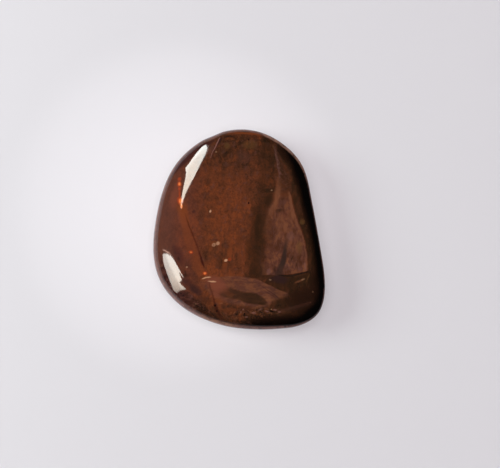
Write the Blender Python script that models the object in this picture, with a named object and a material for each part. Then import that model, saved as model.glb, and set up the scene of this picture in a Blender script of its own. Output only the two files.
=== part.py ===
"""A polished mookaite slab: one flat freeform stone with a rounded edge all the way round.

The stone lies on its flat back at z = 0, under its middle. +Y is its longer way and +Z is up.
Driving dimensions are in millimetres, and MM turns them into Blender's metres.
"""

import math

import bmesh
import bpy
import numpy as np

MM = 0.001

THICKNESS = 10.0  # from the flat back to the top of the crowned face
CROWN = 0.6  # how far the middle of the face stands above its border
FACE_EDGE_POWER = 2.2  # superellipse exponent of the edge between rim and face
BACK_EDGE_POWER = 2.0  # the same between rim and back; 2 is a plain ellipse
BACK_EDGE_REACH = 3.6  # how far in from the rim the back's rounded edge goes

# The widest outline, anticlockwise from the right: x, y, how far in from there the face's
# rounded edge goes, and how high the outline is there. The edge is broad and low on the
# left, and a tight shoulder near the face on the right.
RIM = [
    (18.5, 1.0, 5.2, 7.9),
    (17.2, 8.1, 5.2, 7.8),
    (15.3, 15.1, 5.0, 7.2),
    (10.6, 20.5, 4.4, 6.6),
    (4.1, 23.6, 3.6, 6.7),
    (-3.1, 23.6, 3.6, 6.6),
    (-9.7, 20.8, 5.4, 5.9),
    (-15.0, 15.9, 7.2, 5.5),
    (-18.2, 9.5, 8.4, 5.2),
    (-19.9, 2.5, 8.6, 4.9),
    (-20.5, -4.7, 8.2, 4.8),
    (-19.1, -11.7, 7.4, 4.8),
    (-14.8, -17.5, 6.4, 4.9),
    (-8.7, -21.3, 5.4, 5.1),
    (-1.8, -23.4, 4.8, 5.2),
    (5.4, -24.0, 4.8, 5.4),
    (12.6, -23.5, 5.0, 6.1),
    (18.8, -20.2, 5.4, 7.2),
    (20.5, -13.3, 5.2, 7.8),
    (19.7, -6.1, 5.2, 7.9),
]

POINTS_PER_SPAN = 5
FACE_EDGE_STEPS = 11
FACE_STEPS = 6
BACK_EDGE_STEPS = 7

BODY_COLOR = (0.093, 0.032, 0.014, 1.0)
BODY_ROUGHNESS = 0.06


def closed_curve(rows, per_span):
    """Points on the smooth closed cubic curve that passes through every row."""
    knots = np.array(rows)
    count = len(knots)
    ring = np.eye(count)
    basis = (4 * ring + np.roll(ring, 1, axis=1) + np.roll(ring, -1, axis=1)) / 6
    handles = np.linalg.solve(basis, knots)
    t = (np.arange(per_span) / per_span)[:, None]
    weights = (
        (1 - t) ** 3,
        3 * t**3 - 6 * t**2 + 4,
        -3 * t**3 + 3 * t**2 + 3 * t + 1,
        t**3,
    )
    spans = []
    for i in range(count):
        near = [handles[(i + k - 1) % count] for k in range(4)]
        spans.append(sum(w * h for w, h in zip(weights, near)) / 6)
    return np.vstack(spans)


def inward_normals(outline):
    """Unit vectors pointing into an anticlockwise closed outline."""
    along = np.roll(outline, -1, axis=0) - np.roll(outline, 1, axis=0)
    inward = np.column_stack([-along[:, 1], along[:, 0]])
    return inward / np.linalg.norm(inward, axis=1, keepdims=True)


def edge_profile(power, steps):
    """Quarter superellipse from the rim inwards: (share of the reach, share of the rise)."""
    angles = [step * math.pi / 2 / steps for step in range(steps + 1)]
    return [
        (1 - abs(math.cos(a)) ** (2 / power), math.sin(a) ** (2 / power)) for a in angles
    ]


def stone_rings():
    """Rings from the border of the flat back, over the rim, to near the middle of the face."""
    curve = closed_curve(RIM, POINTS_PER_SPAN)
    outline, reach, height = curve[:, :2], curve[:, 2:3], curve[:, 3]
    outline = outline - (outline.max(axis=0) + outline.min(axis=0)) / 2
    inward = inward_normals(outline)
    middle = outline.mean(axis=0)
    span = np.linalg.norm(outline - middle, axis=1)

    def crown(points):
        return CROWN * (1 - (np.linalg.norm(points - middle, axis=1) / span) ** 2)

    rings = []
    for share, rise in reversed(edge_profile(BACK_EDGE_POWER, BACK_EDGE_STEPS)):
        points = outline + inward * BACK_EDGE_REACH * share
        rings.append(np.column_stack([points, height * (1 - rise)]))
    face_rise = THICKNESS - CROWN - height
    for share, rise in edge_profile(FACE_EDGE_POWER, FACE_EDGE_STEPS)[1:]:
        points = outline + inward * reach * share
        rings.append(np.column_stack([points, height + face_rise * rise + crown(points)]))
    border = rings[-1][:, :2]
    for step in range(1, FACE_STEPS):
        points = middle + (border - middle) * (1 - step / FACE_STEPS)
        rings.append(np.column_stack([points, THICKNESS - CROWN + crown(points)]))
    return rings, np.array([*middle, THICKNESS])


def stone_mesh():
    rings, top = stone_rings()
    shell = bmesh.new()
    loops = [[shell.verts.new(point * MM) for point in ring] for ring in rings]
    shell.faces.new(reversed(loops[0]))
    for lower, upper in zip(loops, loops[1:]):
        for i, near in enumerate(lower):
            j = (i + 1) % len(lower)
            shell.faces.new((near, lower[j], upper[j], upper[i]))
    peak = shell.verts.new(top * MM)
    last = loops[-1]
    for i, near in enumerate(last):
        shell.faces.new((near, last[(i + 1) % len(last)], peak))
    mesh = bpy.data.meshes.new("mookaite_slab")
    shell.to_mesh(mesh)
    shell.free()
    mesh.shade_smooth()
    return mesh


def polished_stone():
    """Dark red-brown jasper with a glassy polish."""
    material = bpy.data.materials.new("polished_stone")
    material.use_nodes = True
    shader = material.node_tree.nodes["Principled BSDF"]
    shader.inputs["Base Color"].default_value = BODY_COLOR
    shader.inputs["Roughness"].default_value = BODY_ROUGHNESS
    shader.inputs["Metallic"].default_value = 0.0
    return material


def main():
    for leftover in list(bpy.data.objects):
        bpy.data.objects.remove(leftover)
    stone = bpy.data.objects.new("mookaite_slab", stone_mesh())
    stone.data.materials.append(polished_stone())
    bpy.context.scene.collection.objects.link(stone)


main()
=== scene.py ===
"""A polished mookaite slab lying on a plain pale floor, seen from almost straight above.

The slab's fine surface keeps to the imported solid, and its markings are built from noise,
lines and ellipses. Lengths are in millimetres, and MM turns them into Blender's metres.
+Y is the slab's longer way and +Z is up. Colours are linear red, green and blue.
"""

import math

import bpy
import numpy as np
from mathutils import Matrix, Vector, noise
from mathutils.bvhtree import BVHTree
from mathutils.geometry import barycentric_transform


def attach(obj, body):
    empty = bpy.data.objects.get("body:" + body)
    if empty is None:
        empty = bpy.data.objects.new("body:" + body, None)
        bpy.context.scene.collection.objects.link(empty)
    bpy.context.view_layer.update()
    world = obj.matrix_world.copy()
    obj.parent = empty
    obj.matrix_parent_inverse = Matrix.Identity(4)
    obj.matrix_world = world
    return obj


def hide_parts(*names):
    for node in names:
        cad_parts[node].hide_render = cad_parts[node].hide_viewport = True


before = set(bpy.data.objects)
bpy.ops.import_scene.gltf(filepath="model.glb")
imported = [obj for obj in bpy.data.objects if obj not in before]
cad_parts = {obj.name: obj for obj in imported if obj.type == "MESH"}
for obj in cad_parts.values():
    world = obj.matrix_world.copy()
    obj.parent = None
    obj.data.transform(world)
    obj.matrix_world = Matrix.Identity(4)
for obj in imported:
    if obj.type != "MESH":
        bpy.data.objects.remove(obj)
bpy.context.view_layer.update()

MM = 0.001

# The slab, as its solid is built.
THICKNESS = 10.0
CROWN = 0.6
FACE_EDGE_POWER = 2.2
BACK_EDGE_POWER = 2.0
BACK_EDGE_REACH = 3.6
RIM = [
    (18.5, 1.0, 5.2, 7.9),
    (17.2, 8.1, 5.2, 7.8),
    (15.3, 15.1, 5.0, 7.2),
    (10.6, 20.5, 4.4, 6.6),
    (4.1, 23.6, 3.6, 6.7),
    (-3.1, 23.6, 3.6, 6.6),
    (-9.7, 20.8, 5.4, 5.9),
    (-15.0, 15.9, 7.2, 5.5),
    (-18.2, 9.5, 8.4, 5.2),
    (-19.9, 2.5, 8.6, 4.9),
    (-20.5, -4.7, 8.2, 4.8),
    (-19.1, -11.7, 7.4, 4.8),
    (-14.8, -17.5, 6.4, 4.9),
    (-8.7, -21.3, 5.4, 5.1),
    (-1.8, -23.4, 4.8, 5.2),
    (5.4, -24.0, 4.8, 5.4),
    (12.6, -23.5, 5.0, 6.1),
    (18.8, -20.2, 5.4, 7.2),
    (20.5, -13.3, 5.2, 7.8),
    (19.7, -6.1, 5.2, 7.9),
]

# How finely the surface is meshed.
POINTS_PER_SPAN = 32
FACE_EDGE_STEPS = 44
BACK_EDGE_STEPS = 26
FACE_SPACING = 0.24
BACK_SPACING = 0.5

# Relief, all of it inwards.
SWELL_DEPTH = 0.035
SWELL_LENGTH = 9.0
SWELL_START = 2.0  # the swell fades in up to this height, so the flat back stays flat
DENTS = [  # middle, half length, half width, direction of the length, depth
    ((18.1, 4.1, 7.4), 1.0, 0.35, (0.13, -0.98, 0.13), 0.30),  # nick in the right rim
    ((8.0, -19.6, 9.3), 0.42, 0.25, (0.8, -0.5, 0.0), 0.12),  # pit near the front
    ((1.5, -20.3, 9.2), 0.35, 0.22, (0.3, 0.95, 0.0), 0.10),  # pit near the front
    ((2.4, 5.9, 10.0), 0.24, 0.18, (0.2, 0.98, 0.0), 0.06),  # pit in the face
    ((-5.9, 21.9, 6.5), 3.2, 3.4, (0.92, 0.39, 0.0), 0.20),  # slight flat in the outline
    ((9.7, -23.7, 5.8), 4.4, 3.4, (1.0, 0.05, 0.0), 0.13),  # slight flat in the outline
]

# Camera. Angles are in degrees.
WIDTH_SEEN = 120.0  # how wide the picture is at AIM
FIELD_OF_VIEW = 24.0
CAMERA_AZIMUTH = -90.0
CAMERA_ELEVATION = 86.0
AIM = (2.72, -1.05, 5.0)
PICTURE = (500, 468)  # pixels
SENSOR_WIDTH = 36.0
CLIP_START = 10.0

# Stage: a round floor, with a cove and a wall round it, and the lights.
FLOOR_RADIUS = 900.0
COVE_RADIUS = 300.0
COVE_STEPS = 12
WALL_TOP = 1500.0
STAGE_SEGMENTS = 96
FLOOR_NEAR = (0.50, 0.503, 0.513)  # around the slab, where the floor also gives off painted light
FLOOR_FAR = (0.80, 0.805, 0.82)
# Painted light: the floor glows round the slab, lifting the slab's shadow.
PAINTED_FLOOR_LIGHT_MIDDLE = (-14, 6, 0)
PAINTED_FLOOR_LIGHT_COLOR = (1.0, 0.94, 0.985)
PAINTED_FLOOR_LIGHT = [  # distance from that middle, emission strength
    (15, 0.38), (34, 0.31), (46, 0.25), (95, 0.25), (170, 0.0),
]
FLOOR_FADE = (170, 100)  # distances between which the far colour turns into the near one
CARD_DISTANCE = 600.0
ROOM = (0.02, 0.02, 0.02)
LIGHTS = [  # name, azimuth, elevation, distance, size, power in watts, colour
    ("key", 170, 35, 420, 260, 1.1, (0.93, 1.0, 0.97)),
    ("fill", 0, 90, 900, 700, 5.1, (1.0, 0.93, 0.975)),
]


# ---------------------------------------------------------------- the stone's shape


def closed_curve(rows, per_span):
    """Points on the smooth closed cubic curve that passes through every row."""
    knots = np.array(rows)
    count = len(knots)
    ring = np.eye(count)
    basis = (4 * ring + np.roll(ring, 1, axis=1) + np.roll(ring, -1, axis=1)) / 6
    handles = np.linalg.solve(basis, knots)
    t = (np.arange(per_span) / per_span)[:, None]
    weights = (
        (1 - t) ** 3,
        3 * t**3 - 6 * t**2 + 4,
        -3 * t**3 + 3 * t**2 + 3 * t + 1,
        t**3,
    )
    spans = []
    for i in range(count):
        near = [handles[(i + k - 1) % count] for k in range(4)]
        spans.append(sum(w * h for w, h in zip(weights, near)) / 6)
    return np.vstack(spans)


def inward_normals(outline):
    """Unit vectors pointing into an anticlockwise closed outline."""
    along = np.roll(outline, -1, axis=0) - np.roll(outline, 1, axis=0)
    inward = np.column_stack([-along[:, 1], along[:, 0]])
    return inward / np.linalg.norm(inward, axis=1, keepdims=True)


def edge_profile(power, steps):
    """Quarter superellipse from the rim inwards: (share of the reach, share of the rise)."""
    angles = [step * math.pi / 2 / steps for step in range(steps + 1)]
    return [
        (1 - abs(math.cos(a)) ** (2 / power), math.sin(a) ** (2 / power)) for a in angles
    ]


def disc_rings(border, middle, spacing, height_of):
    """Rings from just inside the border to the middle, with half as many points in a ring
    each time its points get twice as close."""
    rings = []
    radius = np.linalg.norm(border - middle, axis=1).mean()
    steps = round(radius / spacing)
    keep = 1
    for step in range(1, steps):
        share = 1 - step / steps
        if share * keep < 0.5 and len(border) % (4 * keep) == 0:
            keep *= 2
        points = middle + (border[::keep] - middle) * share
        rings.append(np.column_stack([points, height_of(points, keep)]))
    return rings


def stone_rings():
    """The middle of the back, rings from there over the rim, and the middle of the face."""
    curve = closed_curve(RIM, POINTS_PER_SPAN)
    outline, reach, rim_height = curve[:, :2], curve[:, 2:3], curve[:, 3]
    outline = outline - (outline.max(axis=0) + outline.min(axis=0)) / 2
    inward = inward_normals(outline)
    middle = outline.mean(axis=0)
    span = np.linalg.norm(outline - middle, axis=1)
    face_rise = THICKNESS - CROWN - rim_height

    def crown(points, keep=1):
        return CROWN * (1 - (np.linalg.norm(points - middle, axis=1) / span[::keep]) ** 2)

    def face_height(points, keep):
        return THICKNESS - CROWN + crown(points, keep)

    def back_height(points, keep):
        return np.zeros(len(points))

    rings = []
    for share, rise in reversed(edge_profile(BACK_EDGE_POWER, BACK_EDGE_STEPS)):
        points = outline + inward * BACK_EDGE_REACH * share
        rings.append(np.column_stack([points, rim_height * (1 - rise)]))
    for share, rise in edge_profile(FACE_EDGE_POWER, FACE_EDGE_STEPS)[1:]:
        points = outline + inward * reach * share
        height = rim_height + face_rise * rise + crown(points)
        rings.append(np.column_stack([points, height]))
    back = disc_rings(rings[0][:, :2], middle, BACK_SPACING, back_height)
    face = disc_rings(rings[-1][:, :2], middle, FACE_SPACING, face_height)
    return (*middle, 0.0), back[::-1] + rings + face, (*middle, THICKNESS)


def bridge(lower, upper):
    """Faces between two rings of point numbers, one of which may have half as many points."""
    faces = []
    more, fewer = max(len(lower), len(upper)), min(len(lower), len(upper))
    for i in range(fewer):
        j = (i + 1) % fewer
        if more == fewer:
            faces.append((lower[i], lower[j], upper[j], upper[i]))
        elif len(lower) == more:
            a, b, c = lower[2 * i], lower[2 * i + 1], lower[(2 * i + 2) % more]
            faces += [(a, b, upper[i]), (b, upper[j], upper[i]), (b, c, upper[j])]
        else:
            a, b, c = upper[2 * i], upper[2 * i + 1], upper[(2 * i + 2) % more]
            faces += [(lower[i], b, a), (lower[i], lower[j], b), (lower[j], c, b)]
    return faces


def swell(point):
    """A slow, slight unevenness of hand polishing, from 0 to 1."""
    return 0.5 + 0.5 * noise.noise(Vector(point) / SWELL_LENGTH)


def dent(point):
    """How deep the chips and pits are at a point."""
    deepest = 0.0
    for middle, long, wide, heading, depth in DENTS:
        offset = Vector(point) - Vector(middle)
        along = offset.dot(Vector(heading).normalized())
        beside = math.sqrt(max(offset.length_squared - along * along, 0.0))
        reach = math.hypot(along / long, beside / wide)
        if reach < 1:
            deepest = max(deepest, depth * (1 - reach * reach) ** 2)
    return deepest


def stone_piece():
    low, rings, top = stone_rings()
    points = [low, *(tuple(p) for ring in rings for p in ring), top]
    numbers, start = [], 1
    for ring in rings:
        numbers.append(range(start, start + len(ring)))
        start += len(ring)
    faces = []
    first, last = numbers[0], numbers[-1]
    for i in range(len(first)):
        faces.append((0, first[(i + 1) % len(first)], first[i]))
    for lower, upper in zip(numbers, numbers[1:]):
        faces += bridge(lower, upper)
    for i in range(len(last)):
        faces.append((last[i], last[(i + 1) % len(last)], start))
    mesh = bpy.data.meshes.new("stone")
    mesh.from_pydata([Vector(p) * MM for p in points], [], faces)
    mesh.shade_smooth()
    normals = np.array([v.normal for v in mesh.vertices])
    depth = np.array([SWELL_DEPTH * swell(p) for p in points])
    depth *= np.clip(np.array(points)[:, 2] / SWELL_START, 0, 1)
    depth += np.array([dent(p) for p in points])
    places = np.array(points) - normals * depth[:, None]
    mesh.vertices.foreach_set("co", (places * MM).astype(np.float32).ravel())
    mesh.update()
    stone = bpy.data.objects.new("stone", mesh)
    bpy.context.scene.collection.objects.link(stone)
    return stone


# ---------------------------------------------------------------- the stone's material

# In the functions below, a fade's two numbers are where it starts and ends, a noise's are its
# length in millimetres and its detail, and the last of a coat of paint's is its strength.

OLIVE = (0.026, 0.0120, 0.0050)
UMBER = (0.062, 0.0210, 0.0088)
BROWN = (0.112, 0.0312, 0.0118)
RUSSET = (0.178, 0.0430, 0.0130)
MAUVE = (0.096, 0.0365, 0.0250)
TAN = (0.186, 0.0640, 0.0290)
CLAY = (0.190, 0.0520, 0.0275)
ROSEWOOD = (0.120, 0.0350, 0.0260)
DUN = (0.062, 0.0270, 0.0180)
GOLD = (0.128, 0.0600, 0.0190)
ROSE = (0.200, 0.0850, 0.0680)
WINE = (0.040, 0.0130, 0.0125)
MAROON = (0.036, 0.0070, 0.0040)
SLATE = (0.026, 0.0160, 0.0125)
VIOLET = (0.030, 0.0130, 0.0120)
SHADE = (0.021, 0.0090, 0.0050)
# DUSK darkens towards the right and front rims: painted shade
DUSK = (0.017, 0.0062, 0.0032)
BLACK = (0.0010, 0.0005, 0.0004)
EMBER = (0.40, 0.050, 0.013)
FLAME = (0.86, 0.220, 0.050)
CREAM = (0.54, 0.29, 0.155)

# Soft zones that are warmer (above 0) or darker (below 0): x, y, half width, half height, how much.
ZONES = [
    (-2.0, 3.5, 9.0, 11.0, 0.22),
    (-2.8, 11.8, 7.0, 5.0, 0.20),
    (-5.5, 3.2, 3.6, 3.6, 0.20),
    (1.5, 16.0, 13.0, 3.0, -0.20),
    (-5.5, -13.0, 6.0, 6.5, 0.30),
    (1.0, -7.0, 4.5, 9.0, 0.16),
    (-12.2, 0.5, 4.0, 11.0, 0.30),
    (-8.0, -4.0, 5.0, 9.0, 0.16),
    (-4.0, 20.5, 12.0, 4.0, -0.20),
    (-9.5, 14.0, 5.0, 8.0, 0.10),
    (0.0, -20.5, 10.0, 4.0, -0.24),
]

# Patches and spots: x, y, half length, half width, tilt of the length from +X, softness,
# strength, colour.
GROUND_PATCHES = [
    (-2.2, 22.0, 1.30, 0.52, 8, 0.8, 0.7, SHADE),
    (-2.9, 19.5, 0.94, 1.18, 0, 0.9, 0.5, GOLD),
    (-2.7, 17.9, 1.65, 0.52, 40, 0.9, 0.6, OLIVE),
    (-1.7, 18.6, 0.47, 1.18, -10, 0.9, 0.4, OLIVE),
    (2.7, 20.0, 2.40, 1.40, 0, 0.9, 0.35, GOLD),
    (1.3, 16.9, 2.60, 1.90, 0, 1.0, 0.35, MAUVE),
    (-6.5, 18.6, 0.83, 1.65, -25, 0.8, 0.6, MAUVE),
    (-10.6, 4.0, 0.75, 0.66, 0, 0.9, 0.6, VIOLET),
    (-7.4, 10.2, 0.38, 0.31, 0, 0.9, 0.5, MAROON),
    (-6.9, 8.7, 0.47, 0.38, 0, 0.9, 0.5, MAROON),
    (-7.4, -6.0, 0.80, 2.40, 0, 0.9, 0.3, OLIVE),
    (-4.4, -8.0, 1.10, 2.00, 0, 1.0, 0.30, OLIVE),
    (1.1, -8.1, 0.83, 2.12, 0, 0.9, 0.3, RUSSET),
    (-2.1, -5.8, 0.90, 2.40, 0, 1.0, 0.80, RUSSET),
    (0.4, -2.9, 1.30, 3.00, 0, 1.0, 0.55, UMBER),
    (-13.3, 4.2, 1.41, 2.12, 10, 1.0, 0.5, RUSSET),
    (-15.0, 8.0, 1.50, 4.60, -12, 1.0, 0.55, CLAY),
    (-13.4, 1.8, 1.10, 2.60, 14, 1.0, 0.45, CLAY),
    (-3.2, -8.6, 0.80, 2.40, 0, 1.0, 0.5, RUSSET),
    (-2.2, -11.4, 2.20, 1.00, 0, 1.0, 0.45, RUSSET),
    (-9.6, -8.6, 1.60, 3.60, 15, 1.0, 0.5, RUSSET),
    (-7.6, -11.6, 1.80, 1.60, 0, 1.0, 0.35, RUSSET),
    (-12.6, -11.3, 1.00, 0.70, 0, 1.0, 0.6, SHADE),
    (-14.2, -6.2, 1.60, 3.20, 22, 1.0, 0.6, WINE),
    (-14.2, -7.1, 0.38, 0.57, 0, 0.9, 0.5, SHADE),
    (-12.4, -10.7, 0.38, 0.94, 0, 0.9, 0.5, SHADE),
    (-10.2, -14.6, 2.30, 1.30, -30, 0.9, 0.75, VIOLET),
    (-12.2, -12.9, 1.60, 1.00, -35, 0.9, 0.6, WINE),
    (-12.8, -15.6, 1.65, 0.42, 20, 0.8, 0.7, SHADE),
    (-8.8, -18.7, 1.41, 1.06, -35, 0.8, 0.6, SHADE),
    (-11.5, -16.3, 0.71, 0.80, 0, 0.8, 0.4, ROSE),
    (-4.1, -17.0, 1.18, 1.89, -10, 0.9, 0.4, RUSSET),
    (-7.8, -16.8, 2.40, 1.40, -32, 0.9, 0.35, SHADE),
    (-3.9, -17.7, 0.61, 0.26, 0, 0.8, 0.5, TAN),
    (-2.0, -19.6, 1.89, 1.18, 0, 0.9, 0.4, RUSSET),
]
BAND_PATCHES = [
    (6.6, 21.0, 1.06, 0.83, -25, 0.7, 0.8, OLIVE),
    (5.2, 10.2, 1.40, 2.80, 0, 1.0, 0.3, OLIVE),
    (6.1, 18.3, 0.33, 1.89, 0, 0.9, 0.5, OLIVE),
    (8.1, 14.1, 0.38, 1.89, -3, 0.8, 0.6, OLIVE),
    (8.3, 19.5, 0.35, 0.71, 10, 0.8, 0.4, GOLD),
    (7.6, 15.9, 0.70, 1.60, 0, 0.9, 0.4, OLIVE),
    (7.5, 9.0, 0.80, 2.20, 80, 0.9, 0.7, OLIVE),
    (7.2, 6.4, 0.90, 2.40, -10, 0.9, 0.8, OLIVE),
    (3.3, 4.4, 0.80, 0.90, 0, 0.9, 0.6, OLIVE),
    (4.6, 2.0, 0.90, 2.00, -15, 0.9, 0.7, OLIVE),
    (4.3, -1.2, 0.70, 2.40, 0, 0.9, 0.7, OLIVE),
]
VEIL_PATCHES = [
    (10.75, 8.0, 1.10, 1.20, 0, 0.9, 0.5, BROWN),
    (10.75, 6.1, 1.10, 0.85, 0, 0.9, 0.6, MAUVE),
    (9.8, 4.3, 1.40, 0.71, 0, 0.8, 0.6, OLIVE),
    (10.3, 2.4, 1.90, 1.06, 0, 0.9, 0.30, TAN),
    (11.2, 0.2, 0.61, 1.53, -4, 0.9, 0.75, TAN),
    (12.4, -1.9, 1.20, 1.40, 0, 0.9, 0.35, ROSE),
    (14.5, -4.5, 0.94, 1.90, 0, 0.9, 0.55, GOLD),
    (8.0, -3.9, 1.30, 2.80, 0, 0.9, 0.25, UMBER),
    (9.9, 0.2, 1.50, 3.80, 0, 1.0, 0.35, TAN),
    (12.3, 2.9, 1.10, 2.40, 10, 1.0, 0.45, TAN),
    (7.4, 0.2, 0.90, 2.60, 0, 1.0, 0.40, UMBER),
    (13.0, -3.5, 2.60, 5.50, 12, 1.0, 0.20, TAN),
    (8.3, -7.1, 0.60, 1.06, 0, 0.8, 0.35, TAN),
    (7.1, -10.2, 0.61, 0.85, 10, 0.8, 0.4, ROSE),
    (8.9, -10.0, 0.85, 1.06, 0, 0.8, 0.5, VIOLET),
    (12.55, -7.1, 0.24, 0.94, -22, 0.8, 0.7, OLIVE),
    (13.7, -8.3, 0.24, 1.18, -28, 0.8, 0.6, OLIVE),
    (14.8, -6.8, 0.21, 0.94, -28, 0.8, 0.5, OLIVE),
    (11.5, -9.0, 0.71, 1.18, 0, 0.9, 0.15, ROSE),
    (14.5, -9.5, 0.80, 0.61, 0, 0.8, 0.2, ROSE),
    (15.8, -9.0, 0.26, 1.18, 0, 0.8, 0.5, ROSE),
]
SIDE_PATCHES = [  # between the veil and the painted shade along the right rim
    (15.1, 1.6, 0.71, 0.83, 0, 0.8, 0.5, GOLD),
    (14.3, 4.7, 1.06, 2.12, -12, 0.9, 0.10, MAUVE),
    # the DUSK rows darken towards the right rim: painted shade
    (11.2, 17.6, 3.40, 1.60, -48, 0.9, 0.8, DUSK),
    (13.6, 12.6, 1.30, 3.60, 16, 1.0, 0.7, DUSK),
    (15.9, 3.6, 0.90, 4.40, 10, 1.0, 0.6, DUSK),
    (13.6, -12.6, 5.60, 2.20, 0, 0.9, 0.6, OLIVE),
    (9.6, -12.1, 2.80, 1.20, 0, 0.7, 0.85, VIOLET),
    (16.2, -17.0, 6.60, 4.60, 10, 0.9, 0.9, DUSK),
    (17.6, -12.4, 1.40, 4.00, 6, 1.0, 0.7, DUSK),
    (16.2, -11.8, 0.17, 1.30, -22, 0.8, 0.35, GOLD),
]
FRONT_PATCHES = [
    # darker along the front rim: painted shade
    (8.5, -21.4, 9.00, 1.40, 4, 0.9, 0.75, DUSK),
    (-5.2, -13.2, 3.60, 2.10, -28, 0.9, 0.85, CLAY),
    (-5.4, -15.4, 1.50, 1.50, 0, 0.9, 0.55, CLAY),
    (-2.2, -15.4, 1.41, 0.71, -15, 0.8, 0.5, BROWN),
    (7.3, -17.3, 0.75, 1.65, -5, 0.8, 0.35, TAN),
    (9.6, -18.2, 1.30, 0.57, 5, 0.7, 0.8, OLIVE),
    (5.45, -17.9, 1.06, 0.57, 0, 0.8, 0.7, OLIVE),
    (4.15, -20.7, 0.80, 0.33, 0, 0.8, 0.7, SHADE),
    (5.8, -20.3, 0.52, 0.28, 0, 0.8, 0.6, SHADE),
    (2.4, -20.0, 0.47, 0.38, 0, 0.8, 0.6, SHADE),
    (-0.3, -20.3, 0.71, 0.38, 0, 0.8, 0.4, SHADE),
    (1.1, -19.15, 0.33, 0.26, 0, 0.8, 0.7, ROSE),
    (2.0, -20.9, 0.42, 0.21, 15, 0.8, 0.6, ROSE),
    (0.6, -19.7, 0.21, 0.42, 15, 0.8, 0.5, ROSE),
    (3.6, -19.9, 0.57, 0.31, 0, 0.8, 0.6, ROSE),
    (5.1, -19.3, 0.75, 0.19, 10, 0.8, 0.4, ROSE),
    (6.75, -19.7, 0.75, 0.26, 5, 0.8, 0.6, ROSE),
    (8.9, -19.1, 0.57, 0.31, -5, 0.8, 0.6, ROSE),
    (9.9, -19.6, 0.57, 0.24, 0, 0.8, 0.5, ROSE),
]
SPOTS = [
    (-6.62, 4.00, 0.45, 0.27, 62, 0.7, 0.90, CREAM),
    (-5.82, -3.97, 0.64, 0.54, 30, 0.7, 0.50, CREAM),
    (-5.85, -4.01, 0.31, 0.24, 0, 0.9, 0.70, BROWN),
    (-4.86, -3.64, 0.59, 0.50, 50, 0.7, 0.62, CREAM),
    (-5.21, -2.83, 0.54, 0.35, 0, 0.9, 0.60, VIOLET),
    (-2.17, -7.41, 0.75, 0.47, 20, 0.9, 0.40, EMBER),
    (-2.97, -7.60, 0.50, 0.35, 30, 0.7, 0.95, CREAM),
    (-11.22, -5.71, 0.64, 0.57, 0, 1.0, 0.80, EMBER),
    (-11.22, -5.71, 0.31, 0.28, 0, 0.9, 0.50, FLAME),
    (-7.90, -10.64, 0.71, 0.64, 0, 0.9, 0.85, EMBER),
    (-7.92, -10.66, 0.42, 0.38, 0, 0.8, 0.75, FLAME),
    (-12.12, -9.25, 0.31, 0.28, 0, 0.8, 0.40, CREAM),
    (-18.25, -8.89, 0.33, 0.28, 0, 0.9, 0.25, CREAM),
    (-10.11, -17.85, 0.28, 0.24, 0, 0.8, 0.40, CREAM),
    (-5.28, 18.10, 0.28, 0.24, 0, 0.8, 0.30, CREAM),
    (2.36, 21.17, 0.35, 0.28, 0, 0.8, 0.70, BLACK),
    (7.81, 9.00, 0.26, 0.24, 0, 0.8, 0.45, CREAM),
    (15.00, 12.45, 0.21, 0.19, 0, 0.8, 0.30, CREAM),
    (2.38, 5.89, 0.26, 0.33, 10, 0.6, 0.90, BLACK),
    (7.50, -12.22, 0.35, 0.24, -20, 0.8, 0.28, CREAM),
    (17.48, -15.00, 0.28, 0.24, 0, 0.8, 0.14, CREAM),
    (-5.52, -18.21, 0.38, 0.42, 0, 0.8, 0.70, BLACK),
    (-5.16, -19.62, 0.38, 0.33, 0, 0.8, 0.70, BLACK),
    (-0.33, -19.62, 0.42, 0.33, 0, 0.8, 0.60, VIOLET),
    (1.44, -20.33, 0.28, 0.52, -15, 0.6, 0.90, BLACK),
    (7.88, -19.67, 0.57, 0.28, -20, 0.6, 0.85, BLACK),
    (7.83, -19.10, 0.17, 0.14, 0, 0.6, 0.60, CREAM),
    # beside the tip of the upper window's reflection: partly the stone's orange, partly a painted
    # glow of light through the stone
    (-14.00, 11.74, 0.61, 0.61, 0, 1.0, 0.60, EMBER),
    (-14.07, 10.56, 0.66, 0.85, 0, 1.0, 0.85, EMBER),
    (-14.07, 10.61, 0.38, 0.52, 0, 0.9, 0.85, FLAME),
    (-14.07, 9.43, 0.42, 0.52, 0, 0.9, 0.75, EMBER),
    (-13.91, 8.20, 0.31, 1.06, 4, 0.9, 0.60, EMBER),
    (-13.77, 6.55, 0.90, 1.30, 8, 1.0, 0.90, EMBER),
    (-13.74, 6.48, 0.50, 0.80, 8, 0.9, 1.00, FLAME),
    (-13.53, 5.37, 0.38, 0.85, 6, 0.9, 0.90, FLAME),
]
# Thin pale dashes: the x, y of both ends, half width, strength, colour.
DASHES = [
    (-8.60, -11.98, -7.50, -11.66, 0.22, 0.85, CREAM),
    (-7.75, -11.68, -6.55, -11.60, 0.22, 0.80, CREAM),
    (-7.20, -12.58, -5.20, -12.68, 0.22, 0.80, CREAM),
    (13.10, -13.00, 15.50, -12.00, 0.30, 0.50, TAN),
    (14.80, -12.25, 15.50, -11.95, 0.25, 0.25, CREAM),
]

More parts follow.
